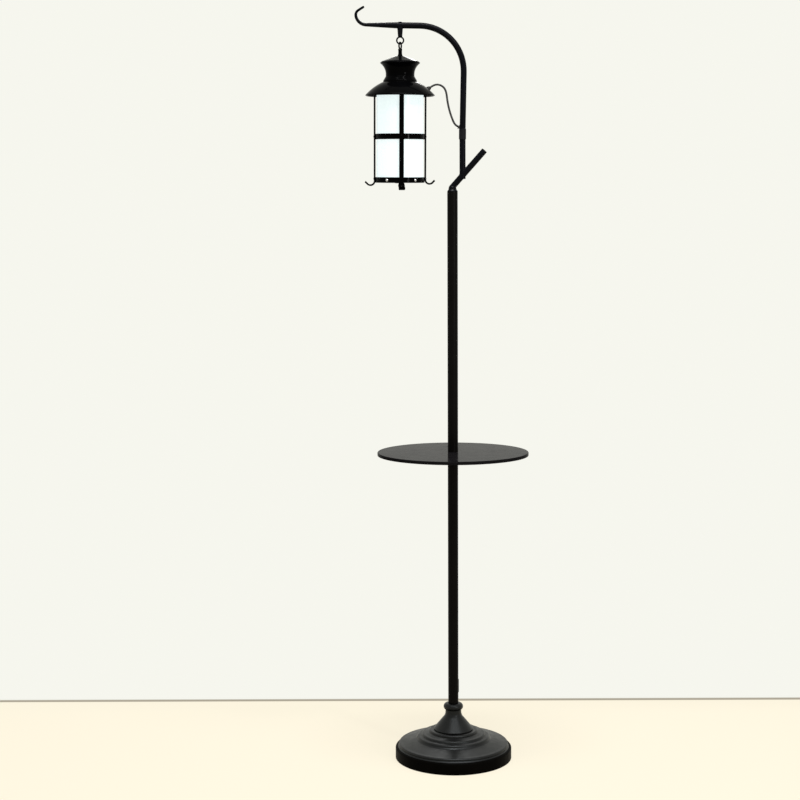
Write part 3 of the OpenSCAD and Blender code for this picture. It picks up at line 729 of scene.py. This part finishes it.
# ---- Strips ----
# Four flat bars riveted to the plate's rim and to both bands. Each foot is curled outwards and ends
# in a round tip, hammered a little wider than the bar.
strip_w = 9.1
strip_t = 3
# the bars look this much thicker than their stock
strip_extra = 0.4
strip_mid = cage_r + strip_t / 2
curl_r = 8.3
tip_r = 6.5
tip_lean = 45
tip_shares = (0.15, 0.3, 0.45, 0.6, 0.72, 0.82, 0.9, 0.95, 0.98, 0.995)
foot_waist = 1.6
curl_sweep = 135
curl_steps = 27
# height over the curl's centre and half width, where the bar widens into its foot
widening = ((5.6, 4.7), (4.4, 5), (3.4, 5.4), (2.2, 5.8), (1, 6))


def strip_route(curl_z, radius):
    """The middle line and half width of a strip whose curl is round a point at that height."""
    line = [(strip_mid, z, strip_w / 2) for z in (1341.5, 1341.2, 1300, 1255, 1200, curl_z + 7)]
    line += [(strip_mid, curl_z + z, half) for z, half in widening]
    for i in range(curl_steps + 1):
        # wider at the top of the curl and at its tip than in between
        turn = radians(180 + curl_sweep * i / curl_steps)
        half = tip_r - foot_waist * sin(pi * i / curl_steps) ** 2
        line.append((strip_mid + radius + radius * cos(turn), curl_z + radius * sin(turn), half))
    x, z, end = line[-1]
    for share in tip_shares:
        s = end * share
        line.append((x + s * cos(radians(tip_lean)), z + s * sin(radians(tip_lean)),
                     sqrt(end ** 2 - s ** 2)))
    return line


def flat_bar(line, thick, ease=0.4):
    """A flat bar along a route of (x, z, half width) in the upright plane y = 0, its edges eased."""
    bm = bmesh.new()
    rings = []
    for i, (x, z, half) in enumerate(line):
        before = line[max(i - 1, 0)]
        after = line[min(i + 1, len(line) - 1)]
        run = Vector((after[0] - before[0], 0, after[1] - before[1])).normalized()
        out = Vector((-run.z, 0, run.x))
        half_t = thick / 2
        small = min(ease, half / 2)
        corners = [
            (half_t, half - small), (half_t - small, half), (small - half_t, half), (-half_t, half - small),
        ]
        corners += [(t, -w) for t, w in reversed(corners)]
        rings.append([bm.verts.new(MM * (Vector((x, w, z)) + t * out)) for t, w in corners])
    for low, high in zip(rings, rings[1:]):
        for k in range(len(low)):
            beside = (k + 1) % len(low)
            bm.faces.new((low[k], low[beside], high[beside], high[k]))
    bm.faces.new(rings[0])
    bm.faces.new(rings[-1])
    bmesh.ops.recalc_face_normals(bm, faces=bm.faces)
    mesh = bpy.data.meshes.new("bar")
    bm.to_mesh(mesh)
    bm.free()
    return mesh


back_tighter = 2
# side: its direction in degrees, and the height and the radius of its curl
strips = {
    "front": (270, 1155.8, curl_r),
    "right": (0, 1165.7, curl_r),
    "back": (90, 1165.7, curl_r - back_tighter),
    "left": (180, 1163.1, curl_r),
}
for side, (turn, curl_z, radius) in strips.items():
    mesh = flat_bar(strip_route(curl_z, radius), strip_t + strip_extra)
    mesh.transform(hung @ Matrix.Rotation(radians(turn), 4, "Z"))
    set_on(keep(f"flat_strip_{side}", mesh, enamel), "lantern", "lantern_black", f"strip_{side}")

# ---- Bands ----
# Two hoops of flat bar, welded shut and eased along their edges. The bottom one has an inner ledge
# that the glass stands on.
bottom_z = 1159.6
mid_z = 1243.8
band_h = 10.9
glass_foot = bottom_z + 1.5
ease = 0.35
inner = cage_r - band_t
ledge_r = 40
set_on(keep("mid_hoop", tube(cage_r, band_t, mid_z, mid_z + band_h, hung, 160, ease), enamel),
       "lantern", "lantern_black", "mid_band")
bottom_outline = [
    (ledge_r, bottom_z), (cage_r - ease, bottom_z), (cage_r, bottom_z + ease),
    (cage_r, bottom_z + band_h - ease), (cage_r - ease, bottom_z + band_h), (inner, bottom_z + band_h),
    (inner, glass_foot), (ledge_r, glass_foot),
]
set_on(keep("bottom_hoop", turned(bottom_outline, closed=True, place=hung, steps=160), enamel),
       "lantern", "lantern_black", "bottom_band")

# ---- Rivets and screws ----
# Twelve low round steel rivets hold the strips. Four bright screws with round heads go through the
# bottom band and steady the glass.


def spread_out(mesh, places):
    """One mesh that repeats another at several places."""
    copies = []
    for place in places:
        copies.append(mesh.copy())
        copies[-1].transform(hung @ place)
    return joined(*copies)


def out_at(turn, r, z):
    """A place on the lantern's side that faces outwards."""
    return (Matrix.Rotation(radians(turn), 4, "Z") @ Matrix.Translation((MM * r, 0, MM * z))
            @ Matrix.Rotation(radians(90), 4, "Y"))


rivet_heights = (bottom_z + 8, mid_z + band_h / 2, plate_z - 6.5)
rivets_at = [out_at(turn, cage_r + strip_t, z) for turn in (0, 90, 180, 270) for z in rivet_heights]
rivet = turned([(0, -2.9), (1.4, -2.9), (1.4, 0), (2.7, 0)] + arc((0, -3.1), 4.1, 46, 90, 6), steps=20)
set_on(keep("strip_rivets", spread_out(rivet, rivets_at), enamel), "lantern", "lantern_black", "rivets")
screw_up = 5.4
screws_at = [out_at(turn, cage_r, bottom_z + screw_up) for turn in (55, 125, 235, 305)]
screw_outline = [(0, -1.5), (1.2, -1.5), (1.2, 0), (2.6, 0), (2.6, 0.5)] + arc((0, -1.5), 3.25, 40, 90, 6)
screw = turned(screw_outline, steps=24)
set_on(keep("glass_screw_heads", spread_out(screw, screws_at), zinc),
       "lantern", "zinc_steel", "glass_screws")

# ---- Glass ----
# A cylinder of opal glass with fire-polished rims. Its glow is painted on as emission, in place
# of the lamp's light shining through it, so that it looks an even white with the faintest blue.
glass_r = 46
glass_wall = 2.5
glass_top = 1341.5
opal, tree, shader = blank("opal_glass", 0.28, 0.35)
cloud = noise(tree, 30, 3)
tinted(tree, shader, cloud, (0.30, 0.33, 0.335), (0.33, 0.36, 0.365))
# painted glow: the glass's own emission stands in for the lamp's light through it
shader.inputs["Emission Color"].default_value = (0.86, 0.985, 1.0, 1)
shader.inputs["Emission Strength"].default_value = 0.79
rim = glass_wall / 2
glass_outline = (
    arc((glass_r - rim, glass_foot + rim), rim, 180, 360, 8)
    + arc((glass_r - rim, glass_top - rim), rim, 0, 180, 8)
)
set_on(keep("opal_cylinder", turned(glass_outline, closed=True, place=hung, steps=128), opal, 50),
       "lantern", "opal_glass", "glass")

# ---- Lampholder and lamp ----
# A black moulded lampholder under the plate, and a frosted round lamp in it, warm white, which
# shows through the open bottom of the lantern.
moulded, tree, shader = blank("moulded_black", 0.5, 0.3)
tinted(tree, shader, noise(tree, 60, 3), (0.010, 0.010, 0.010), (0.016, 0.016, 0.016))
bumped(tree, shader, noise(tree, 1400, 2), 0.00003)
refinish(moulded, "lampholder")
nickel, tree, shader = blank("nickelled_cap", 0.3, 0.5, 1.0)
tinted(tree, shader, noise(tree, 90, 3), (0.55, 0.52, 0.42), (0.72, 0.68, 0.55))
refinish(nickel, "bulb_cap")
holder_z = plate_z - plate_sheet
holder_l = 18
bulb_cap_l = 27
bulb_z = holder_z - holder_l - bulb_cap_l
ball_r = 29
ball_z = 1226
frosted, tree, shader = blank("frosted_lamp", 0.4, 0.4)
tinted(tree, shader, noise(tree, 35, 2), (0.42, 0.41, 0.38), (0.46, 0.45, 0.42))
shader.inputs["Emission Color"].default_value = (1.0, 0.93, 0.80, 1)
shader.inputs["Emission Strength"].default_value = 0.6
bulb_outline = [(0, bulb_z), (13, bulb_z), (13.4, bulb_z - 1.5), (13.6, bulb_z - 10)]
bulb_outline += arc((0, ball_z), ball_r, 52, -90, 40)
set_on(keep("round_lamp", turned(bulb_outline, place=hung, steps=96), frosted, 60),
       "lantern", "bulb_glass", "bulb")

# ---- The floor and what lies behind ----
# A cream floor that ends in a thin line four tenths of a metre behind the lamp, and off-white
# beyond it. It is one flat sheet, so that no wall hides the lamp from behind.
cream = (0.982, 0.913, 0.745)
off_white = (0.923, 0.923, 0.855)
line_grey = (0.42, 0.38, 0.30)
line_y = 0.403
line_slant = 0.006
line_w = 0.014
line_zone = 0.05
cream_edge = 0.02
white_edge = 0.06
floor_half = 60
bm = bmesh.new()
bmesh.ops.create_grid(bm, x_segments=1, y_segments=1, size=floor_half)
floor_mesh = bpy.data.meshes.new("floor")
bm.to_mesh(floor_mesh)
bm.free()
floor_paint = bpy.data.materials.new("floor_paint")
floor_paint.use_nodes = True
tree = floor_paint.node_tree
tree.nodes.remove(tree.nodes["Principled BSDF"])
xyz = node(tree, "SeparateXYZ", {"Vector": node(tree, "TexCoord").outputs["Object"]}).outputs
slanted = node(tree, "Math", {0: xyz["X"], 1: line_slant, 2: xyz["Y"]}, operation="MULTIPLY_ADD")
ramp = node(tree, "ValToRGB", {"Fac": node(tree, "MapRange", {
    "Value": slanted.outputs[0], "From Min": line_y - line_zone, "From Max": line_y + line_zone,
}).outputs["Result"]})
stops = ramp.color_ramp.elements
stops[0].position, stops[0].color = 0.5 - line_w * 5 - cream_edge, (*cream, 1)
stops[1].position, stops[1].color = 0.5 + line_w * 5 + white_edge, (*off_white, 1)
for position in (0.5 - line_w * 4, 0.5 + line_w * 4):
    stops.new(position).color = (*line_grey, 1)
plain = node(tree, "BsdfDiffuse", {"Color": ramp.outputs["Color"]})
shown = node(tree, "Emission", {"Color": ramp.outputs["Color"], "Strength": 1.0})
# the camera sees a share of the lamp's shadow, which ends at the line
soft_shadow = 0.15
shadow_fade = 0.12
near_lamp = node(tree, "MapRange", {
    "Value": slanted.outputs[0], "From Min": line_y - shadow_fade, "From Max": line_y,
    "To Min": soft_shadow, "To Max": 0.0,
}, interpolation_type="SMOOTHSTEP")
seen = node(tree, "MixShader", {"Fac": near_lamp.outputs["Result"]})
tree.links.new(shown.outputs[0], seen.inputs[1])
tree.links.new(plain.outputs[0], seen.inputs[2])


def seen_directly(tree):
    """1 for what the camera sees, straight or in metal and glass, and 0 for light on surfaces."""
    ray = node(tree, "LightPath").outputs
    first = node(tree, "Math", {0: ray["Is Camera Ray"], 1: ray["Is Glossy Ray"]}, operation="MAXIMUM")
    both = node(tree, "Math", {0: first.outputs[0], 1: ray["Is Transmission Ray"]}, operation="MAXIMUM")
    return both.outputs[0]


picked = node(tree, "MixShader", {"Fac": seen_directly(tree)})
tree.links.new(plain.outputs[0], picked.inputs[1])
tree.links.new(seen.outputs[0], picked.inputs[2])
tree.links.new(picked.outputs[0], tree.nodes["Material Output"].inputs["Surface"])
floor = keep("floor", floor_mesh, floor_paint)

# ---- The backdrop ----
# Off-white all round, at full strength where it is seen, straight or in metal and glass, and
# dimmer as light on the surfaces.
studio_light = 0.34
world = bpy.data.worlds.new("studio")
world.use_nodes = True
scene.world = world
tree = world.node_tree
sky_level = node(tree, "MapRange", {"Value": seen_directly(tree), "To Min": studio_light, "To Max": 1.0})
tree.nodes["Background"].inputs["Color"].default_value = (*off_white, 1)
tree.links.new(sky_level.outputs["Result"], tree.nodes["Background"].inputs["Strength"])

# ---- The lamps of the studio ----
# A long soft box overhead gives most of the light. A weak card high in front and a small low one
# behind fill in, and two small boxes to the right put faint small highlights on the enamel.


def softbox(name, place, aim, width, height, power):
    """A rectangular lamp, in metres and watts, that shines at a point and that no camera sees."""
    lamp = bpy.data.lights.new(name, "AREA")
    lamp.shape = "RECTANGLE"
    lamp.size = width
    lamp.size_y = height
    lamp.energy = power
    box = bpy.data.objects.new(name, lamp)
    box.location = place
    box.rotation_euler = (Vector(aim) - Vector(place)).to_track_quat("-Z", "Y").to_euler()
    box.visible_camera = False
    scene.collection.objects.link(box)


softbox("top_box", place=(0, -0.6, 3.3), aim=(0, -0.6, 0), width=1.4, height=0.5, power=76)
softbox("front_card", place=(0, -1.9, 3.2), aim=(0, 0, 0.2), width=1.6, height=1.2, power=24)
softbox("right_box_high", place=(1.56, -1.98, 3.2), aim=(-0.1, 0, 1.3), width=0.26, height=0.26, power=26)
softbox("right_box_low", place=(1.93, -2.42, 1.12), aim=(-0.1, 0, 1.2), width=0.26, height=0.3, power=14)
softbox("back_box", place=(0, 2.0, 2.15), aim=(0, 0, 0), width=0.5, height=0.4, power=6)
